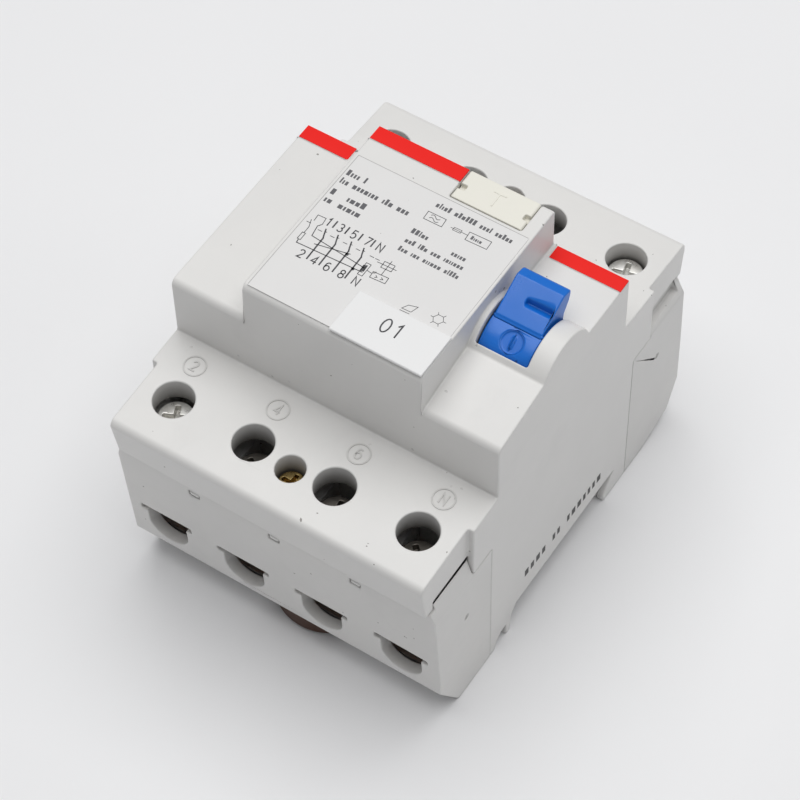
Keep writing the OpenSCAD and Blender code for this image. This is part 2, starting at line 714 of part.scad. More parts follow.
// bar from a pole's x to the x of its conductor in the window
module cross_bar(i, reach_x, reach_z, y0, y1) {
  place = window[i];
  box(min(pole_x[i], place[0]) - reach_x, max(pole_x[i], place[0]) + reach_x, y0, y1,
    place[1] - reach_z, place[1] + reach_z);
}
module primary_conductors() {
  copper = [0.75, 0.42, 0.22];
  start_y = load_y + overlap;
  color(copper) for (i = stepped) {
    cross_bar(i, 1.5, 1.4, start_y, -20.95);
    rod_y(window[i][0], -21.0, -6.2, window[i][1], wire_r);
  }
  color(copper) rod_y(window[1][0], start_y, -6.2, window[1][1], wire_r);
}
module flexible_braids() {
  copper = [0.70, 0.40, 0.22];
  start_y = -6.1;
  color(copper) for (i = stepped) {
    rod_y(window[i][0], start_y, -3.0, window[i][1], 0.7);
    cross_bar(i, 0.9, 0.8, -3.7, -2.3);
  }
  color(copper) rod_y(window[1][0], start_y, -1.3, window[1][1], 0.8);
}

// ---- Trip relay ----

module relay_yoke() {
  steel = [0.55, 0.56, 0.58];
  left = 20.6;
  right = 31.6;
  bottom = 12;
  color(steel) difference() {
    box(left, right, relay_y - 5.6, relay_y + 5.6, bottom, 29);
    box(22.0, 32.0, relay_y - 9, relay_y + 9, 13.6, 27.4);
    rod_z(relay_x, relay_y, 20, 40, plunger_r + bore_play);
  }
  color(steel) box(left, right, relay_y - 4, relay_y + 4, floor_z, bottom);
}
module relay_coil() {
  // [bottom, top, radius] of the lower flange, the winding and the upper flange
  stages = [[13.6, 14.6, 4.6], [14.6, 26.4, 4.0], [26.4, 27.4, 4.6]];
  color([0.70, 0.30, 0.14]) difference() {
    union() {
      for (stage = stages) rod_z(relay_x, relay_y, stage[0], stage[1], stage[2]);
    }
    rod_z(relay_x, relay_y, 18, 30, plunger_r + bore_play);
  }
}
module relay_plunger() {
  color([0.78, 0.79, 0.80]) {
    rod_z(relay_x, relay_y, 19, 33.4, plunger_r);
    rod_z(relay_x, relay_y, 30.6, 31.4, 2.6);
  }
}
module trip_lever() {
  color([0.90, 0.62, 0.15]) difference() {
    union() {
      rod_x(24.9, 28.9, trip_y, trip_z, 2.4);
      along_x(25.3, 28.5)
        polygon([[-15.9, 33.5], [-15.9, 34.9], [-8.5, 37.9], [-2.5, 37.4], [-0.3, 40.6],
          [0.5, 40.2], [-1.1, 35.8], [-7.5, 34.1]]);
    }
    rod_x(20, 40, trip_y, trip_z, trip_pin_r + bore_play);
  }
}
module trip_lever_pin() {
  color([0.75, 0.75, 0.77]) rod_x(frame_x[0], frame_x[1], trip_y, trip_z, trip_pin_r);
}
module sensing_leads() {
  lead_r = 0.55;
  color([0.75, 0.15, 0.12])
    wire([[10.0, -11.5, 22], [13, -8.6, 18], [18, -8.6, 14.5], [19.9, -9.6, 16.6]], lead_r);
  color([0.85, 0.85, 0.80])
    wire([[10.0, -16.5, 20], [13.5, -18.6, 16], [17.5, -18.6, 12.5], [20.0, -17, 15]], lead_r);
}

// ---- Test circuit ----

module test_button() {
  left = pocket_x[0] + button_play;
  right = pocket_x[1] - button_play;
  color([0.91, 0.90, 0.85]) union() {
    difference() {
      box(left, right, pocket_y + button_play, mid_far - 0.1, 73.4, nose_z);
      // grip notches at both sides
      box(0.5, 2.8, 16.8, 18.1, 75.9, 80);
      box(15.2, 18, 16.8, 18.1, 75.9, 80);
      along_y(10, 30) {
        translate([left, nose_z]) rotate(-90) corner_cut(0.5);
        translate([right, nose_z]) rotate(180) corner_cut(0.5);
      }
      // room for the spring
      rod_z(button_x, button_y, 70, 76, 2.9);
    }
    rod_z(button_x, button_y, 68.1, 76.2, button_pin_r);
  }
}
module test_button_spring() {
  color([0.78, 0.78, 0.80])
    translate([button_x, button_y, pocket_z + 0.02]) coil(2.25, 0.25, 4.5, 3);
}
module test_contact_blade() {
  color([0.82, 0.68, 0.36]) along_y(16.6, 19.2) difference() {
    union() {
      translate([blade_x, blade_z]) circle(1.4);
      translate([blade_x, blade_z - 0.2]) square([17, 0.5]);
    }
    translate([blade_x, blade_z]) circle(0.7);
  }
}
module test_resistor() {
  color([0.60, 0.72, 0.68]) {
    rod_x(-15.5, -4.5, resistor_y, resistor_z, 2.2);
    rod_x(-17, -3, resistor_y, resistor_z, 0.4);
  }
}
module test_leads() {
  black = [0.15, 0.15, 0.16];
  brass = [0.82, 0.68, 0.36];
  color(black)
    wire([[-2.9, resistor_y, resistor_z], [2, 10, 62], [10, 14, 61], [10, 15.4, 64.4]], 0.5);
  color(black)
    wire([[-17.2, resistor_y, resistor_z], [-24, 8, 58], [-27.5, 12, 48], [-27.5, 17.5, 39]],
      0.5);
  // test contact post below the blade, and pivot stud of the blade
  color(brass) rod_z(9.6, button_y, 63.4, 65.0, 1.0);
  color(brass) rod_y(blade_x, 16.0, 19.8, blade_z, 0.64);
}

// ---- Terminals, k counts along the terminals list ----

module terminal_screw(k) {
  place = terminals[k];
  head_z = 40.4 + backed_out[k];
  color([0.74, 0.75, 0.76]) difference() {
    union() {
      rod_z(place[0], place[1], head_z, head_z + 2.9, 3.6);
      rod_z(place[0], place[1], tongue_top + 0.2 + backed_out[k], head_z + overlap, screw_d / 2);
    }
    translate([place[0], place[1], head_z + 1.3]) rotate([0, 0, 25 + 37 * k])
      cross_slot(2.6, 0.5, 3);
  }
}
module clamp_cage(k) {
  x = terminals[k][0];
  y = terminals[k][1];
  inner_half = 4.4;
  color([0.70, 0.71, 0.73]) difference() {
    mid_box(x, 5.7, y - 3.3, y + 3.3, 11.0, 30.5);
    mid_box(x, inner_half, y - 6, y + 6, 12.4, 27.5);
    rod_z(x, y, 20, 40, screw_d / 2 + bore_play);
    // grip grooves in the floor of the cage
    for (shift = [-1.8, 0, 1.8])
      mid_box(x, inner_half, y + shift - 0.4, y + shift + 0.4, 12.0, 13);
  }
}

base_housing();
top_cover();
front_label();
marker_card();
accent_strips();
housing_screws();
din_latch();
latch_spring();
toggle_lever();
toggle_axle();
drive_link();
mechanism_frame();
opening_spring();
contact_shaft();
contact_arms();
moving_contact_tips();
contact_springs();
fixed_contact_tips();
line_straps();
load_straps();
rotor_bearings();
pole_partitions();
toroid_core();
toroid_case();
secondary_winding();
primary_conductors();
flexible_braids();
relay_yoke();
relay_coil();
relay_plunger();
trip_lever();
trip_lever_pin();
sensing_leads();
test_button();
test_button_spring();
test_contact_blade();
test_resistor();
test_leads();
terminal_screw(0);  // terminal_screw_1
terminal_screw(1);  // terminal_screw_2
terminal_screw(2);  // terminal_screw_3
terminal_screw(3);  // terminal_screw_4
terminal_screw(4);  // terminal_screw_5
terminal_screw(5);  // terminal_screw_6
terminal_screw(6);  // terminal_screw_7
terminal_screw(7);  // terminal_screw_8
clamp_cage(0);  // clamp_cage_1
clamp_cage(1);  // clamp_cage_2
clamp_cage(2);  // clamp_cage_3
clamp_cage(3);  // clamp_cage_4
clamp_cage(4);  // clamp_cage_5
clamp_cage(5);  // clamp_cage_6
clamp_cage(6);  // clamp_cage_7
clamp_cage(7);  // clamp_cage_8
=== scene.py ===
"""Four-pole residual-current circuit breaker, lying on its back on a pale floor.

The poles stand side by side along X, the terminals are at both Y ends and the printed
face looks up (+Z). The CAD pieces get materials and softened edges; the print, the
moulded marks and the stamp are added as thin meshes. The scene is in metres; shapes
are drawn in millimetres and scaled by MM.
"""

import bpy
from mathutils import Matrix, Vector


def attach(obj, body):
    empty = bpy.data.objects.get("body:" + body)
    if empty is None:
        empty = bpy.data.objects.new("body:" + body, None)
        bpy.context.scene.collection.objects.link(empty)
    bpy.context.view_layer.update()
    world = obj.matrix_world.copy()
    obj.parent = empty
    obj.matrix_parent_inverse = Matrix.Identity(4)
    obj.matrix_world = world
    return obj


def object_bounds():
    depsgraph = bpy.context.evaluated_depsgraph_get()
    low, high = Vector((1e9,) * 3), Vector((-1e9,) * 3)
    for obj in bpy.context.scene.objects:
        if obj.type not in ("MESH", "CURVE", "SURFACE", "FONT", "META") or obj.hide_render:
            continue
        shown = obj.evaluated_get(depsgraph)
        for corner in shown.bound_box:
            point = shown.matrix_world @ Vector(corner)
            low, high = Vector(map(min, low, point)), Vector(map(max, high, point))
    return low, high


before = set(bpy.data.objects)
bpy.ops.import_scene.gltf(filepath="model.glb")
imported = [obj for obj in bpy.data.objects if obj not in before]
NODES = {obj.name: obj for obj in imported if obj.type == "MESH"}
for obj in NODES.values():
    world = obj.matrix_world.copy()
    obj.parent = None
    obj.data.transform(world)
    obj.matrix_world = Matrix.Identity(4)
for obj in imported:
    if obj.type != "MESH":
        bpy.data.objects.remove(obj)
cad_lo, cad_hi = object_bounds()
cad_lo, cad_hi = list(cad_lo), list(cad_hi)

import math
import random

import bmesh
import bpy
from mathutils import Matrix, Vector

MM = 0.001

# heights in mm
FACE_Z = 77.12              # top of the face film
PRINT_BOTTOM = FACE_Z - 0.01
PRINT_TOP = FACE_Z + 0.025
CARD_Z = FACE_Z + 0.55      # top of the marker card

# screwdriver holes in the cover, in metres (read by the housing material)
HALF_PITCH = 0.00895        # holes at odd multiples of this along X
BORE_Y = 0.0364             # distance of the hole rows from the X axis
BORE_RADIUS = 0.00435
SQUARE_HALF = 0.0031        # half side of the square opening at x = 0
SQUARE_SHIFT = 0.0011       # how far it lies outside the hole row
BORE_SHADE_Z = (0.0512, 0.0470)   # painted shade sets in at the first height, is full at the second


# ---------------------------------------------------------------- shader helpers
def srgb(*channels):
    """Linear colour from 0-255 sRGB channels."""
    def linear(value):
        value = value / 255.0
        return value / 12.92 if value <= 0.04045 else ((value + 0.055) / 1.055) ** 2.4
    return tuple(linear(channel) for channel in channels)


def scaled(color, factor):
    return tuple(channel * factor for channel in color)


def is_socket(value):
    return isinstance(value, bpy.types.NodeSocket)


class Shader:
    """A Principled material and the node helpers that work in its object coordinates."""

    def __init__(self, name):
        self.material = bpy.data.materials.new(name)
        self.material.use_nodes = True
        self.tree = self.material.node_tree
        self.tree.nodes.clear()
        self.principled = self.add("BsdfPrincipled")
        self.add("OutputMaterial", {0: self.principled.outputs[0]})
        self.coords = self.add("TexCoord").outputs["Object"]
        self.normal = None

    def feed(self, node, inputs):
        """Link each socket to an output, or set it to a plain value."""
        for key, value in inputs.items():
            if is_socket(value):
                self.tree.links.new(value, node.inputs[key])
            else:
                node.inputs[key].default_value = value

    def add(self, kind, inputs=None, **settings):
        node = self.tree.nodes.new("ShaderNode" + kind)
        for setting, value in settings.items():
            setattr(node, setting, value)
        self.feed(node, inputs or {})
        return node

    def noise(self, scale, detail=3.0, rough=0.5, stretch=None):
        coords = self.coords
        if stretch:
            coords = self.add("Mapping", {"Scale": stretch, "Vector": coords}).outputs[0]
        return self.add("TexNoise", {"Scale": scale, "Detail": detail, "Roughness": rough,
                                     "Vector": coords}).outputs["Fac"]

    def ramp(self, value, over=(0.3, 0.7), to=(0.0, 1.0)):
        """Map the range `over` linearly onto the range `to`, clamped."""
        return self.add("MapRange", {"From Min": over[0], "From Max": over[1],
                                     "To Min": to[0], "To Max": to[1],
                                     "Value": value}).outputs[0]

    def mix(self, factor, first, second):
        colors = [c if is_socket(c) else (*c, 1.0) for c in (first, second)]
        # sockets 6 and 7 are the colour pair of the Mix node
        return self.add("Mix", {0: factor, 6: colors[0], 7: colors[1]},
                        data_type="RGBA").outputs[2]

    def calc(self, operation, *values):
        return self.add("Math", dict(enumerate(values)), operation=operation).outputs[0]

    def product(self, first, *others):
        for other in others:
            first = self.calc("MULTIPLY", first, other)
        return first

    def bump(self, height, strength, distance):
        """Lay a bump over the ones already there."""
        inputs = {"Strength": strength, "Distance": distance, "Height": height}
        if self.normal is not None:
            inputs["Normal"] = self.normal
        self.normal = self.add("Bump", inputs).outputs[0]

    def specks(self, scale, size, keep):
        """1 on small irregular dust specks; `keep` is the share of cells with a speck."""
        wobble = self.add("TexNoise", {"Scale": scale * 3.0, "Vector": self.coords})
        offset = self.add("VectorMath", {0: wobble.outputs["Color"], "Scale": 0.35 / scale},
                          operation="SCALE")
        place = self.add("VectorMath", {0: self.coords, 1: offset.outputs[0]}, operation="ADD")
        cells = self.add("TexVoronoi", {"Scale": scale, "Vector": place.outputs[0]})
        near = self.calc("LESS_THAN", cells.outputs["Distance"], size)
        draw = self.add("SeparateColor", {0: cells.outputs["Color"]}).outputs[0]
        return self.product(near, self.calc("LESS_THAN", draw, keep))

    def crevice(self, distance, over=(0.35, 0.95)):
        """1 in tight corners, 0 on open surfaces."""
        occlusion = self.add("AmbientOcclusion", {"Distance": distance}, samples=6)
        return self.ramp(occlusion.outputs["AO"], over=over, to=(1.0, 0.0))

    def worn_edges(self):
        """Patchy mask along sharp corners."""
        bevel = self.add("Bevel", {"Radius": 0.0006}, samples=4)
        geometry = self.add("NewGeometry")
        dot = self.add("VectorMath", {0: bevel.outputs[0], 1: geometry.outputs["Normal"]},
                       operation="DOT_PRODUCT")
        worn = self.ramp(dot.outputs["Value"], over=(0.98, 0.86))
        patch = self.ramp(self.noise(scale=130.0, detail=5.0, rough=0.7), over=(0.42, 0.62))
        return self.product(worn, patch)

    def painted_bore_shade(self):
        """Painted shade mask down the round screwdriver holes and the square opening between
        them.
        """
        axes = self.add("SeparateXYZ", {0: self.coords}).outputs
        from_hole = self.calc("WRAP", self.calc("SUBTRACT", axes[0], HALF_PITCH),
                              HALF_PITCH, -HALF_PITCH)
        from_row = self.calc("SUBTRACT", self.calc("ABSOLUTE", axes[1]), BORE_Y)
        square_distance = self.calc("ADD", self.product(from_hole, from_hole),
                                    self.product(from_row, from_row))
        in_round = self.calc("LESS_THAN", square_distance, BORE_RADIUS ** 2)
        from_square = self.calc("ABSOLUTE", self.calc("SUBTRACT", from_row, SQUARE_SHIFT))
        in_square = self.product(
            self.calc("LESS_THAN", self.calc("ABSOLUTE", axes[0]), SQUARE_HALF),
            self.calc("LESS_THAN", from_square, SQUARE_HALF))
        depth = self.product(
            self.ramp(axes[2], over=BORE_SHADE_Z),
            self.ramp(self.noise(scale=160.0, detail=4.0, rough=0.6),
                      over=(0.2, 0.6), to=(0.7, 1.0)))
        return self.product(self.calc("MAXIMUM", in_round, in_square), depth)

    def finish(self, color, rough, **others):
        """Feed the Principled node and return the material."""
        self.feed(self.principled, {"Base Color": color, "Roughness": rough})
        names = {"specular": "Specular IOR Level", "metallic": "Metallic"}
        self.feed(self.principled, {names[key]: value for key, value in others.items()})
        if self.normal is not None:
            self.feed(self.principled, {"Normal": self.normal})
        return self.material


# ---------------------------------------------------------------- kinds of material
def plastic(name, color, rough=0.42, mottle=0.03, dirt_and_shade=0.0, dust=0.0, grain=1.0, spec=0.5,
            dirt_and_shade_color=(0.10, 0.085, 0.07), edge=0.0, bore_shade=0.0, smudge=0.0):
    """Moulded plastic. mottle: colour variation; dirt_and_shade: grime and painted shade in
    corners; dust: specks; grain: bump strength; edge: pale worn corners; bore_shade: painted
    shade, darker down the screwdriver holes; smudge: greasy marks."""
    sh = Shader(name)
    dark = scaled(color, 1.0 - mottle)
    warm = tuple(min(1, channel * (1.0 + mottle * share))
                 for channel, share in zip(color, (0.7, 0.6, 0.4)))
    paint = sh.mix(sh.ramp(sh.noise(scale=38.0)), dark, warm)
    fine = sh.ramp(sh.noise(scale=420.0, detail=4.0, rough=0.6))
    paint = sh.mix(sh.product(fine, 0.35), paint, scaled(color, 1.0 - mottle * 1.4))
    if edge > 0:
        pale = tuple(min(1.0, channel * 1.25 + 0.02) for channel in color)
        paint = sh.mix(sh.product(sh.worn_edges(), edge), paint, pale)
    # grime and painted shade: corners found by ambient occlusion are darkened, broken up by
    # noise
    if dirt_and_shade > 0:
        cloud = sh.ramp(sh.noise(scale=210.0, detail=5.0, rough=0.65),
                        over=(0.35, 0.75), to=(0.25, 1.0))
        grime_and_shade = sh.product(sh.crevice(distance=0.0016), cloud, dirt_and_shade)
        paint = sh.mix(grime_and_shade, paint, dirt_and_shade_color)
    if smudge > 0:
        marks = sh.ramp(sh.noise(scale=75.0, detail=6.0, rough=0.62, stretch=(1.0, 0.6, 0.8)),
                        over=(0.56, 0.74))
        paint = sh.mix(sh.product(marks, smudge), paint, scaled(color, 0.72))
    # painted shade: the screwdriver holes and the square opening darken towards their bottoms
    if bore_shade > 0:
        paint = sh.mix(sh.product(sh.painted_bore_shade(), bore_shade), paint, (0.055, 0.048, 0.042))
    if dust > 0:
        loose = sh.calc("MAXIMUM", sh.specks(scale=240.0, size=0.075, keep=0.10 * dust),
                        sh.specks(scale=620.0, size=0.10, keep=0.05 * dust))
        settled = sh.product(sh.specks(scale=520.0, size=0.16, keep=0.30 * dust),
                             sh.crevice(distance=0.0045, over=(0.45, 0.85)))
        paint = sh.mix(sh.product(sh.calc("MAXIMUM", loose, settled), 0.75), paint, dirt_and_shade_color)
    gloss = sh.ramp(sh.noise(scale=95.0, detail=5.0, rough=0.6),
                    over=(0.25, 0.75), to=(rough - 0.06, rough + 0.07))
    sh.bump(sh.noise(scale=4200.0, detail=2.0), strength=0.10 * grain, distance=0.00002)
    sh.bump(sh.noise(scale=330.0), strength=0.10 * grain, distance=0.00010)
    return sh.finish(paint, gloss, specular=spec)


def metal(name, color, rough=0.3, brush=(1.0, 1.0, 30.0), spots=0.25, spot_color=None,
          scale=900.0, metallic=1.0):
    """Brushed metal. brush: stretch of the streak noise; spots: strength of the stains."""
    sh = Shader(name)
    streak = sh.noise(scale=scale, detail=4.0, rough=0.6, stretch=brush)
    stain = sh.ramp(sh.noise(scale=260.0, detail=4.0, rough=0.6), over=(0.38, 0.68))
    paint = sh.mix(sh.product(stain, spots), color, spot_color or scaled(color, 0.62))
    bright = tuple(min(1.0, channel * 1.12) for channel in color)
    paint = sh.mix(sh.product(sh.ramp(streak), 0.3), paint, bright)
    sh.bump(streak, strength=0.18, distance=0.00003)
    sh.bump(sh.noise(scale=520.0), strength=0.12, distance=0.00006)
    return sh.finish(paint, sh.ramp(streak, to=(rough - 0.08, rough + 0.12)),
                     metallic=metallic)


def windings(name, color, pitch, axis):
    """Copper wires laid side by side along an axis, `pitch` metres apart."""
    sh = Shader(name)
    wave = sh.add("TexWave", {"Scale": 1.0 / pitch / 20.0 * 6.2832, "Distortion": 0.6,
                              "Detail": 1.0, "Vector": sh.coords},
                  bands_direction=axis).outputs["Fac"]
    sh.bump(wave, strength=0.6, distance=0.0001)
    return sh.finish(sh.mix(wave, scaled(color, 0.25), color), rough=0.28, metallic=0.7)


def printed_film(name, color):
    sh = Shader(name)
    paint = sh.mix(sh.ramp(sh.noise(scale=60.0)), scaled(color, 0.985), color)
    dust = sh.calc("MAXIMUM", sh.specks(scale=300.0, size=0.06, keep=0.05),
                   sh.specks(scale=700.0, size=0.09, keep=0.03))
    paint = sh.mix(sh.product(dust, 0.55), paint, (0.12, 0.11, 0.10))
    sh.bump(sh.noise(scale=2600.0, detail=2.0), strength=0.06, distance=0.00002)
    sh.bump(sh.noise(scale=120.0, detail=2.0), strength=0.05, distance=0.00012)
    return sh.finish(paint, sh.ramp(sh.noise(scale=150.0, detail=5.0), to=(0.34, 0.46)))


def worn_ink(name):
    sh = Shader(name)
    worn = sh.ramp(sh.noise(scale=1500.0, rough=0.6), over=(0.30, 0.62))
    sh.bump(sh.noise(scale=2000.0), strength=0.05, distance=0.00002)
    return sh.finish(sh.mix(worn, srgb(80, 80, 84), srgb(40, 40, 44)), rough=0.42)


def floor_paint(name):
    sh = Shader(name)
    paint = sh.mix(sh.ramp(sh.noise(scale=9.0, detail=2.0)),
                   srgb(238, 238, 239), srgb(240, 240, 241))
    return sh.finish(paint, rough=0.75, specular=0.2)


# ---------------------------------------------------------------- the materials
HOUSING = srgb(223, 222, 220)
MATERIALS = {
    "cover": plastic("moulded_housing_light_grey", HOUSING, rough=0.40, mottle=0.022, dirt_and_shade=0.30,
                     dust=0.8, edge=0.25, spec=0.45, bore_shade=0.93, smudge=0.16),
    "base": plastic("moulded_base_light_grey", scaled(HOUSING, 0.97), rough=0.44, dirt_and_shade=0.34,
                    dust=0.9, edge=0.25, spec=0.42, smudge=0.14),
    "film": printed_film("printed_face_film", srgb(223, 222, 221)),
    "card": plastic("marker_card_white", srgb(231, 231, 231), rough=0.36, mottle=0.008,
                    dust=0.15, spec=0.45),
    "red": plastic("red_inlay", srgb(238, 24, 14), spec=0.22, dust=0.1),
    "blue": plastic("toggle_blue", srgb(16, 108, 206), rough=0.30, mottle=0.05, dirt_and_shade=0.45,
                    dust=0.7, dirt_and_shade_color=(0.004, 0.012, 0.05), edge=0.5),
    "ivory": plastic("test_button_ivory", srgb(232, 230, 220), mottle=0.02, dirt_and_shade=0.25,
                     dust=0.3, spec=0.4, dirt_and_shade_color=(0.28, 0.24, 0.16)),
    "brown": plastic("latch_brown", srgb(72, 37, 17), rough=0.45, mottle=0.16, dirt_and_shade=0.3,
                     dust=0.4),
    "black": plastic("black_moulding", (0.018, 0.018, 0.020), rough=0.45, mottle=0.2),
    "dark": plastic("thermoset_dark", (0.035, 0.032, 0.030), rough=0.5, mottle=0.25),
    "grey": plastic("grey_moulding", (0.12, 0.12, 0.125), rough=0.45, mottle=0.12),
    "amber": plastic("trip_lever_amber", (0.62, 0.27, 0.03), rough=0.4, mottle=0.1),
    "resistor": plastic("resistor_lacquer", (0.22, 0.36, 0.30), rough=0.35, mottle=0.15),
    "lead_red": plastic("lead_red", (0.42, 0.02, 0.015), rough=0.4, mottle=0.1),
    "lead_black": plastic("lead_black", (0.012, 0.012, 0.013), rough=0.4, mottle=0.2),
    "steel": metal("zinc_plated_steel", (0.60, 0.61, 0.62)),
    "screw": metal("screw_zinc_plated", (0.74, 0.735, 0.71), rough=0.32, brush=(1.0, 1.0, 8.0),
                   spots=0.40, spot_color=(0.42, 0.38, 0.32), scale=700.0, metallic=0.75),
    # painted shade: darkened copy of the screw metal for the screws sitting deep in their holes
    "screw_shaded_copy": metal("screw_metal_painted_shade", (0.20, 0.185, 0.165), rough=0.42, brush=(1.0, 1.0, 8.0),
                        spots=0.55, spot_color=(0.06, 0.05, 0.04), scale=700.0),
    # painted shade: brass colour darkened for the housing screws deep in their holes; the spots
    # are stains
    "brass": metal("brass_screw_painted_shade", (0.40, 0.29, 0.12), rough=0.22, brush=(1.0, 1.0, 6.0),
                   spots=0.65, spot_color=(0.08, 0.055, 0.03), scale=600.0),
    "cage": metal("clamp_cage_steel", (0.56, 0.56, 0.55), rough=0.34, brush=(1.0, 18.0, 1.0),
                  spots=0.3),
    "copper": metal("rolled_copper", (0.78, 0.38, 0.20), rough=0.32, brush=(1.0, 25.0, 1.0),
                    spots=0.35, spot_color=(0.35, 0.13, 0.06)),
    "bronze": metal("spring_bronze", (0.72, 0.48, 0.20), rough=0.28, brush=(20.0, 1.0, 1.0),
                    spots=0.3),
    "silver": metal("silver_alloy", (0.82, 0.81, 0.78), brush=(1.0, 1.0, 1.0), spots=0.4,
                    spot_color=(0.30, 0.29, 0.27)),
    "core": metal("wound_tape_core", (0.32, 0.33, 0.36), rough=0.35, brush=(1.0, 1.0, 1.0),
                  spots=0.2, scale=2400.0),
    "wire": windings("enamelled_wire", (0.55, 0.17, 0.05), pitch=0.00045, axis="Z"),
    "braid": windings("copper_braid", (0.72, 0.36, 0.18), pitch=0.0006, axis="X"),
    "bar": metal("varnished_copper_bar", (0.62, 0.28, 0.11), rough=0.25, brush=(22.0, 1.0, 1.0),
                 spots=0.3),
    "ink": worn_ink("print_ink_dark_grey"),
    "ink_grey": plastic("print_ink_mid_grey", srgb(92, 92, 96), mottle=0.10, grain=0.4),
    # painted shadow along the film's border
    "edge": plastic("film_border_painted_shadow", srgb(176, 175, 174), rough=0.5, mottle=0.08, grain=0.4),
    "mark": plastic("moulded_mark", scaled(HOUSING, 0.86), rough=0.40, mottle=0.05, dirt_and_shade=0.5,
                    grain=0.6),
    "stamp": plastic("stamp_ink_dark", srgb(62, 60, 60), rough=0.5, mottle=0.22, grain=0.5),
}

# CAD part: material key
PART_MATERIAL = dict(
    base_housing="base", top_cover="cover", front_label="film", marker_card="card",
    accent_strips="red", housing_screws="brass", din_latch="brown", latch_spring="steel",
    toggle_lever="blue", toggle_axle="steel", drive_link="steel", mechanism_frame="steel",
    opening_spring="steel", contact_shaft="dark", contact_arms="copper",
    moving_contact_tips="silver", contact_springs="bronze", fixed_contact_tips="silver",
    line_straps="copper", load_straps="copper", rotor_bearings="grey",
    pole_partitions="dark", toroid_core="core", toroid_case="black",
    secondary_winding="wire", primary_conductors="bar", flexible_braids="braid",
    relay_yoke="steel", relay_coil="wire", relay_plunger="steel", trip_lever="amber",
    trip_lever_pin="steel", sensing_leads="lead_red", test_button="ivory",
    test_button_spring="steel", test_contact_blade="bronze", test_resistor="resistor",
    test_leads="lead_black")
for k in range(1, 9):
    # the screws other than 1 and 8 get the painted-shade copy of the screw metal
    PART_MATERIAL["terminal_screw_%d" % k] = "screw" if k in (1, 8) else "screw_shaded_copy"
    PART_MATERIAL["clamp_cage_%d" % k] = "cage"

for part, node in NODES.items():
    material = MATERIALS[PART_MATERIAL[part]]
    slots = node.data.materials
    if len(slots) == 0:
        slots.append(material)
    for i in range(len(slots)):
        slots[i] = material


# ---------------------------------------------------------------- rounded CAD edges
def soften(part, radius, segments=2):
    """Weld, merge flat faces and round the edges, all as modifiers on the CAD object."""
    node = NODES[part]
    weld = node.modifiers.new("weld", "WELD")
    weld.merge_threshold = 2e-6
    planar = node.modifiers.new("planar", "DECIMATE")
    planar.decimate_type = "DISSOLVE"
    planar.angle_limit = math.radians(0.6)
    bevel = node.modifiers.new("edge_radius", "BEVEL")
    bevel.width = radius
    bevel.segments = segments
    bevel.limit_method = "ANGLE"
    bevel.angle_limit = math.radians(30.0)
    bevel.use_clamp_overlap = False
    bevel.miter_outer = "MITER_ARC"
    bevel.harden_normals = False
    for polygon in node.data.polygons:
        polygon.use_smooth = True
    normals = node.modifiers.new("normals", "WEIGHTED_NORMAL")
    normals.keep_sharp = False
    normals.weight = 80


# edge radii in metres
EDGE_RADIUS = dict(top_cover=0.00035, base_housing=0.0003, toggle_lever=0.00035,
                   test_button=0.00022, marker_card=0.00012, accent_strips=0.0001,
                   din_latch=0.0003)
for part, radius in EDGE_RADIUS.items():
    soften(part, radius)
for k in range(1, 9):
    soften("terminal_screw_%d" % k, radius=0.00018)
soften("housing_screws", radius=0.00012, segments=1)


# ---------------------------------------------------------------- drawing in mm
def polar(x, y, radius_x, radius_y, degrees):
    angle = math.radians(degrees)
    return (x + radius_x * math.cos(angle), y + radius_y * math.sin(angle))


def arc(x, y, radius_x, radius_y, start, end, steps):
    return [polar(x, y, radius_x, radius_y, start + (end - start) * i / steps)
            for i in range(steps + 1)]


def oval(x, y, radius_x, radius_y, steps, start=90):
    return arc(x, y, radius_x, radius_y, start, start + 360, steps)[:-1]


def circle(x, y, radius, steps):
    return oval(x, y, radius, radius, steps, start=0)


# characters in a box one unit high: (closed, points) for each stroke
GLYPHS = {
    "0": [(True, oval(0.30, 0.5, 0.25, 0.5, 24))],
    "1": [(False, [(0.12, 0.78), (0.32, 1.0), (0.32, 0.0)])],
    "2": [(False, arc(0.29, 0.72, 0.25, 0.28, 165, -35, 10) + [(0.06, 0.0), (0.56, 0.0)])],
    "3": [(False, arc(0.28, 0.75, 0.23, 0.25, 150, -90, 9)),
          (False, arc(0.28, 0.26, 0.26, 0.26, 90, -150, 10))],
    "4": [(False, [(0.44, 0.0), (0.44, 1.0), (0.03, 0.30), (0.60, 0.30)])],
    "5": [(False, [(0.52, 1.0), (0.13, 1.0), (0.08, 0.52)]
           + arc(0.28, 0.32, 0.26, 0.32, 125, -140, 11))],
    "6": [(False, arc(0.30, 0.62, 0.26, 0.38, 55, 180, 8) + [(0.04, 0.32)]),
          (True, oval(0.30, 0.31, 0.26, 0.31, 20))],
    "7": [(False, [(0.04, 1.0), (0.56, 1.0), (0.20, 0.0)])],
    "8": [(True, oval(0.30, 0.76, 0.21, 0.24, 18)), (True, oval(0.30, 0.27, 0.26, 0.27, 18))],
    "N": [(False, [(0.05, 0.0), (0.05, 1.0), (0.60, 0.0), (0.60, 1.0)])],
}


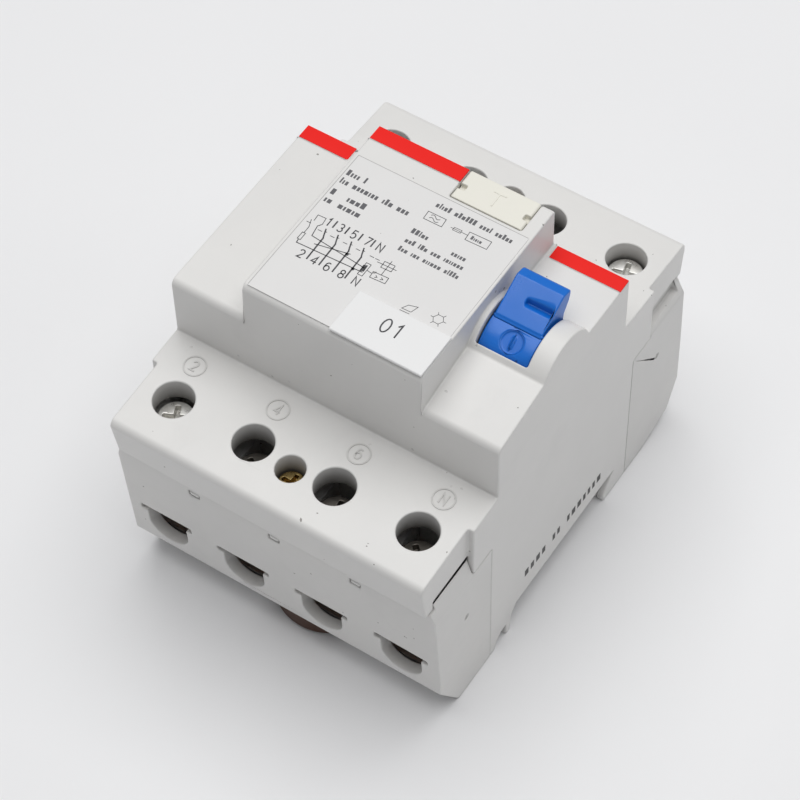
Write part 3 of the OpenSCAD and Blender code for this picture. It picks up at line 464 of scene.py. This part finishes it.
class Relief:
    """Flat shapes standing from z `bottom` to `top`, gathered into one mesh."""

    def __init__(self, bottom, top, place=Matrix.Identity(4)):
        self.mesh = bmesh.new()
        self.bottom = bottom
        self.top = top
        self.place = place

    def ring(self, points, z):
        return [self.mesh.verts.new(self.place @ (Vector((x, y, z)) * MM)) for x, y in points]

    def prism(self, points):
        low = self.ring(points, self.bottom)
        high = self.ring(points, self.top)
        add_face = self.mesh.faces.new
        add_face(high)
        add_face(low[::-1])
        for i in range(len(points)):
            j = (i + 1) % len(points)
            add_face((low[i], low[j], high[j], high[i]))

    def line(self, *points, width, closed=False):
        """A line of constant width, mitred at the bends."""
        path = [Vector(point) for point in points]
        count = len(path)
        left, right = [], []
        for i, point in enumerate(path):
            before = after = None
            if i > 0 or closed:
                before = (point - path[i - 1]).normalized()
            if i < count - 1 or closed:
                after = (path[(i + 1) % count] - point).normalized()
            before = before or after
            after = after or before
            along = (before + after).normalized()
            across = Vector((-along.y, along.x))
            # the limit keeps sharp bends from growing long spikes
            miter = max(0.35, across.dot(Vector((-before.y, before.x))))
            side = across * (width / 2 / miter)
            left.append((point.x + side.x, point.y + side.y))
            right.append((point.x - side.x, point.y - side.y))
        top_left, top_right = self.ring(left, self.top), self.ring(right, self.top)
        low_left, low_right = self.ring(left, self.bottom), self.ring(right, self.bottom)
        add_face = self.mesh.faces.new
        for i in range(count if closed else count - 1):
            j = (i + 1) % count
            add_face((top_right[i], top_right[j], top_left[j], top_left[i]))
            add_face((low_left[i], low_left[j], low_right[j], low_right[i]))
            add_face((top_left[i], top_left[j], low_left[j], low_left[i]))
            add_face((low_right[i], low_right[j], top_right[j], top_right[i]))
        if not closed:
            add_face((top_left[0], low_left[0], low_right[0], top_right[0]))
            add_face((top_right[-1], low_right[-1], low_left[-1], top_left[-1]))

    def glyph(self, char, x, y, height, width):
        """A character centred on x, y, with strokes `width` wide."""
        for closed, points in GLYPHS[char]:
            self.line(*[(x + (u - 0.31) * height, y + (v - 0.5) * height) for u, v in points],
                      width=width, closed=closed)

    def finish(self, name, material, body, slot):
        bmesh.ops.recalc_face_normals(self.mesh, faces=self.mesh.faces)
        mesh = bpy.data.meshes.new(name)
        self.mesh.to_mesh(mesh)
        self.mesh.free()
        mesh.materials.append(MATERIALS[material])
        piece = bpy.data.objects.new(name, mesh)
        bpy.context.scene.collection.objects.link(piece)
        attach(piece, body)


# ---------------------------------------------------------------- printed face
HEAVY = 0.30    # pole lines
THIN = 0.13     # other diagram lines
BUS = THIN * 1.3


def draw_symbols(ink):
    """Boxed waves and the fuse with its rating box, in the upper right."""
    ink.line((0.0, 9.1), (3.8, 9.15), (3.95, 7.25), (0.1, 7.2), width=0.12, closed=True)
    for shift in (0.35, -0.35):
        ink.line(*[(0.9 + 0.22 * i, 8.2 + shift + 0.3 * math.sin(i * 0.7)) for i in range(10)],
                 width=0.12)
    ink.line((6.0, 8.45), (7.6, 8.5), (7.6, 7.8), (6.0, 7.75), width=0.10, closed=True)
    ink.line((5.4, 8.1), (8.95, 8.15), width=0.10)
    ink.line((8.95, 9.0), (13.5, 9.15), (13.6, 7.2), (9.1, 7.05), width=0.12, closed=True)


def draw_poles(ink):
    """Terminal numbers, the four switched lines and the dashes across them."""
    number_rows = (
        (-2.7, (("1", -13.75), ("3", -11.2), ("5", -8.35), ("7", -5.35), ("N", -2.75))),
        (-11.45, (("2", -13.95), ("4", -11.1), ("6", -8.3), ("8", -5.2), ("N", -2.2))))
    for y, numbers in number_rows:
        for char, x in numbers:
            ink.glyph(char, x, y, height=1.85, width=0.24)
    for x in (-12.55, -9.9, -7.0, -4.3):
        ink.line((x - 0.05, -1.7), (x - 0.05, -3.5), width=HEAVY)
        ink.line((x - 0.85, -4.3), (x - 0.35, -5.8), (x - 0.1, -6.4), width=HEAVY * 0.9)
        ink.line((x - 0.1, -6.3), (x + 0.05, -12.0), width=HEAVY)
        ink.line((x - 0.75, -5.0), (x - 0.25, -4.9), width=THIN)
    for x in (-14.6, -11.9, -9.1, -6.3, -3.3, -2.1):
        ink.line((x, -5.25), (x + 0.9, -5.23), width=THIN)


def draw_branches(ink):
    """Test branch with its resistor, the bus lines and the boxes to their right."""
    ink.line((-16.35, -3.9), (-16.45, -2.4), (-14.75, -2.3), (-14.55, -3.9), width=THIN)
    ink.line((-16.9, -3.9), (-16.3, -5.6), (-16.3, -7.2), width=THIN)
    ink.line((-17.4, -4.7), (-16.5, -4.7), width=THIN)
    ink.line((-16.6, -7.2), (-15.95, -7.2), (-15.95, -8.9), (-16.6, -8.9), width=THIN,
             closed=True)
    ink.line((-16.3, -8.9), (-16.2, -9.75), (-2.3, -9.15), width=THIN * 1.4)
    ink.line((-14.6, -3.9), (-15.1, -4.6), (-14.7, -7.0), (-2.5, -8.15), width=BUS)
    ink.line((-13.3, -8.35), (-6.4, -6.85), width=BUS)
    for x, y in ((-6.95, -7.2), (-4.2, -9.4)):
        ink.prism(circle(x, y, radius=0.34, steps=16))
    ink.line((-2.9, -6.9), (-1.9, -6.9), (-1.9, -9.9), (-2.9, -9.9), width=THIN, closed=True)
    ink.prism([(-3.1, -7.6), (-2.3, -7.3), (-2.2, -8.9), (-3.0, -9.1)])
    ink.line((-1.9, -8.3), (-0.8, -8.45), width=THIN)
    ink.line((-0.75, -7.95), (2.4, -7.75), (2.5, -9.15), (-0.65, -9.35), width=THIN,
             closed=True)
    ink.line((0.1, -8.4), (0.5, -8.7), (0.1, -8.95), width=THIN)
    ink.line((1.2, -8.3), (1.7, -8.6), (1.2, -8.85), width=THIN)
    ink.line((-0.3, -4.9), (1.85, -4.8), (1.95, -6.3), (-0.2, -6.4), width=THIN, closed=True)
    ink.line((0.8, -4.2), (0.85, -7.8), width=THIN)
    ink.line((-1.4, -5.7), (2.6, -5.55), width=THIN)


def draw_approvals(ink):
    """Two small plain outlines, lower right: a four-sided one and a rayed hexagon."""
    ink.line((8.0, -12.1), (9.9, -12.0), (10.4, -10.4), (8.7, -10.9), width=0.11, closed=True)
    ink.line((7.9, -12.6), (9.9, -12.5), width=0.11)

    def around(radius, degrees):
        return polar(14.85, -10.75, radius, radius, degrees)

    for i in range(6):
        ink.line(around(1.05, 60 * i), around(1.05, 60 * (i + 1)), width=0.10)
        ink.line(around(1.0, 60 * i), around(1.6, 60 * i), width=0.10)


face_ink = Relief(PRINT_BOTTOM, PRINT_TOP)
draw_symbols(face_ink)
draw_poles(face_ink)
draw_branches(face_ink)
draw_approvals(face_ink)
face_ink.finish("face_print", "ink", "housing", "label_film")

# rows of blocks that stand for wording: x start, x end, y, height, stroke weight
TEXT_ROWS = (
    # upper left
    (-17.6, -12.5, 8.2, 1.7, 0.27), (-17.6, -2.1, 6.0, 1.7, 0.15),
    (-17.6, -15.9, 2.9, 1.7, 0.30), (-14.0, -9.7, 2.9, 1.7, 0.30),
    (-17.6, -15.6, 0.8, 1.7, 0.30), (-14.6, -8.3, 0.8, 1.7, 0.30),
    # right half
    (0.4, 16.8, 10.6, 1.5, 0.14), (-0.1, 4.0, 3.1, 1.45, 0.16),
    (8.8, 12.9, 2.6, 1.35, 0.14), (0.1, 12.9, 0.7, 1.35, 0.14),
    (0.1, 12.9, -1.5, 1.35, 0.14),
    # inside the rating box
    (9.8, 12.9, 7.6, 1.05, 0.11),
)
rng = random.Random(7)


def text_row(ink, x, end, y, height, weight):
    """One row of random blocks, word by word."""
    letters_left = rng.randint(2, 5)
    while x < end - 0.3 * height:
        if letters_left == 0:
            x += height * 0.5
            letters_left = rng.randint(3, 7)
            continue
        width = height * rng.choice((0.20, 0.34, 0.40, 0.46)) * (1.15 if weight > 0.2 else 0.92)
        rise = height * rng.choice((0.60, 0.60, 0.60, 0.88))
        if x + width > end:
            break
        low = y + 0.05 * height
        ink.prism([(x, low), (x + width, low), (x + width, y + rise), (x, y + rise)])
        x += width + height * 0.13 + weight * 0.2
        letters_left -= 1


row_ink = Relief(PRINT_BOTTOM, PRINT_TOP)
for row in TEXT_ROWS:
    text_row(row_ink, *row)
row_ink.finish("face_print_rows", "ink_grey", "housing", "label_film")

# painted shadow line along the film's left and far edges
film_shadow_line = Relief(PRINT_BOTTOM, FACE_Z + 0.012)
film_shadow_line.line((-18.12, -22.2), (-18.12, 13.42), (18.62, 13.42), width=0.13)
film_shadow_line.finish("film_shadow_line", "edge", "housing", "label_film")

# embossed T on the test button
button_mark = Relief(76.96, 77.09)
button_mark.line((7.55, 19.55), (10.2, 19.55), width=0.32)
button_mark.line((8.85, 19.4), (8.85, 16.3), width=0.32)
button_mark.finish("button_mark", "ivory", "button", "ivory_plastic")


# ---------------------------------------------------------------- marks on the housing
def side_stamp():
    """Blocks in three groups on the +X wall, sinking slightly towards +Y."""
    # drawn x, y, z become Y, Z, X
    to_side = Matrix(((0, 0, 1, 0), (1, 0, 0, 0), (0, 1, 0, 0), (0, 0, 0, 1)))
    stamp = Relief(35.49, 35.53, to_side)
    start = -12.7
    y = start
    for letters in (4, 2, 7):
        for i in range(letters):
            z = 13.3 - 0.055 * (y - start)
            width = rng.choice((0.9, 1.15, 1.3)) if letters != 2 else 0.9
            stamp.prism([(y, z - 0.95), (y + width, z - 0.97),
                         (y + width, z + 0.95), (y, z + 0.97)])
            y += width + 0.86
        y += 1.9
    stamp.finish("side_stamp_row", "stamp", "housing", "housing_cover")


side_stamp()

# circuit number on the marker card
marker = Relief(CARD_Z - 0.01, CARD_Z + 0.03)
for char, x in (("0", 8.1), ("1", 10.7)):
    marker.glyph(char, x, -17.2, height=3.1, width=0.30)
marker.finish("marker_print", "ink", "housing", "card")

# sloping terminal decks: side along Y, height at the outer edge, rise, run,
# marks as (character, x, distance from the X axis)
DECK_EDGE_Y = 46.5
DECKS = (
    (-1, 51.1, 1.7, 26.5, (("2", -27.7, 28.3), ("4", -9.0, 28.2),
                           ("6", 9.0, 28.4), ("N", 27.25, 28.4))),
    (1, 51.8, 1.9, 28.5, (("1", -27.7, 28.3), ("3", -9.0, 28.3),
                          ("5", 9.0, 28.3), ("N", 27.25, 28.3))),
)
terminal_marks = Relief(-0.05, 0.15)
for side, edge_z, rise, run, marks in DECKS:
    tilt = Matrix.Rotation(-side * math.atan2(rise, run), 4, "X")
    for char, x, out in marks:
        z = edge_z + (DECK_EDGE_Y - out) * rise / run
        terminal_marks.place = Matrix.Translation(Vector((x, side * out, z)) * MM) @ tilt
        terminal_marks.line(*circle(0, 0, radius=2.15, steps=44), width=0.26, closed=True)
        terminal_marks.glyph(char, 0, 0, height=2.1, width=0.28)
terminal_marks.finish("terminal_marks", "mark", "housing", "housing_cover")


# ---------------------------------------------------------------- floor and lights
bpy.ops.mesh.primitive_plane_add(size=8.0, location=(0, 0, -0.00002))
floor = bpy.context.object
floor.name = "floor"
floor.data.materials.append(floor_paint("pale_floor"))

world = bpy.data.worlds.new("soft_room")
bpy.context.scene.world = world
world.use_nodes = True
background = world.node_tree.nodes["Background"]
background.inputs["Color"].default_value = (0.97, 0.98, 1.0, 1)
background.inputs["Strength"].default_value = 0.265


def softbox(name, location, size, power, color):
    """Square area light aimed at the middle of the breaker."""
    light = bpy.data.lights.new(name, "AREA")
    light.shape = "SQUARE"
    light.size = size
    light.energy = power
    light.color = color
    lamp = bpy.data.objects.new(name, light)
    bpy.context.scene.collection.objects.link(lamp)
    lamp.location = location
    lamp.rotation_mode = "QUATERNION"
    aim = Vector((0, 0, 0.03)) - Vector(location)
    lamp.rotation_quaternion = aim.to_track_quat("-Z", "Y")


softbox("softbox_top", location=(-0.03, 0.13, 1.25), size=1.35, power=14.3,
        color=(1.0, 0.999, 0.995))
softbox("softbox_side", location=(1.1, 0.35, 0.95), size=0.8, power=0.9,
        color=(0.99, 0.995, 1.0))

# ---------------------------------------------------------------- camera
AZIMUTH = math.radians(34.433)      # turned from -Y towards +X
ELEVATION = math.radians(54.22)
ROLL = math.radians(-1.54)
TARGET = Vector((1.582, -4.025, 35.0)) * MM
DISTANCE = 0.54305

camera_data = bpy.data.cameras.new("camera")
camera = bpy.data.objects.new("camera", camera_data)
bpy.context.scene.collection.objects.link(camera)
back = Vector((math.sin(AZIMUTH) * math.cos(ELEVATION),
               -math.cos(AZIMUTH) * math.cos(ELEVATION), math.sin(ELEVATION)))
level = Vector((math.cos(AZIMUTH), math.sin(AZIMUTH), 0))
upright = back.cross(level)
right = level * math.cos(ROLL) + upright * math.sin(ROLL)
up = upright * math.cos(ROLL) - level * math.sin(ROLL)
turn = Matrix((right, up, back)).transposed()
camera.matrix_world = Matrix.Translation(TARGET + back * DISTANCE) @ turn.to_4x4()
camera_data.sensor_width = 36.0
camera_data.lens = 127.7973
camera_data.clip_start = 0.01
camera_data.clip_end = 20.0
bpy.context.scene.camera = camera
bpy.context.scene.view_settings.view_transform = "Standard"
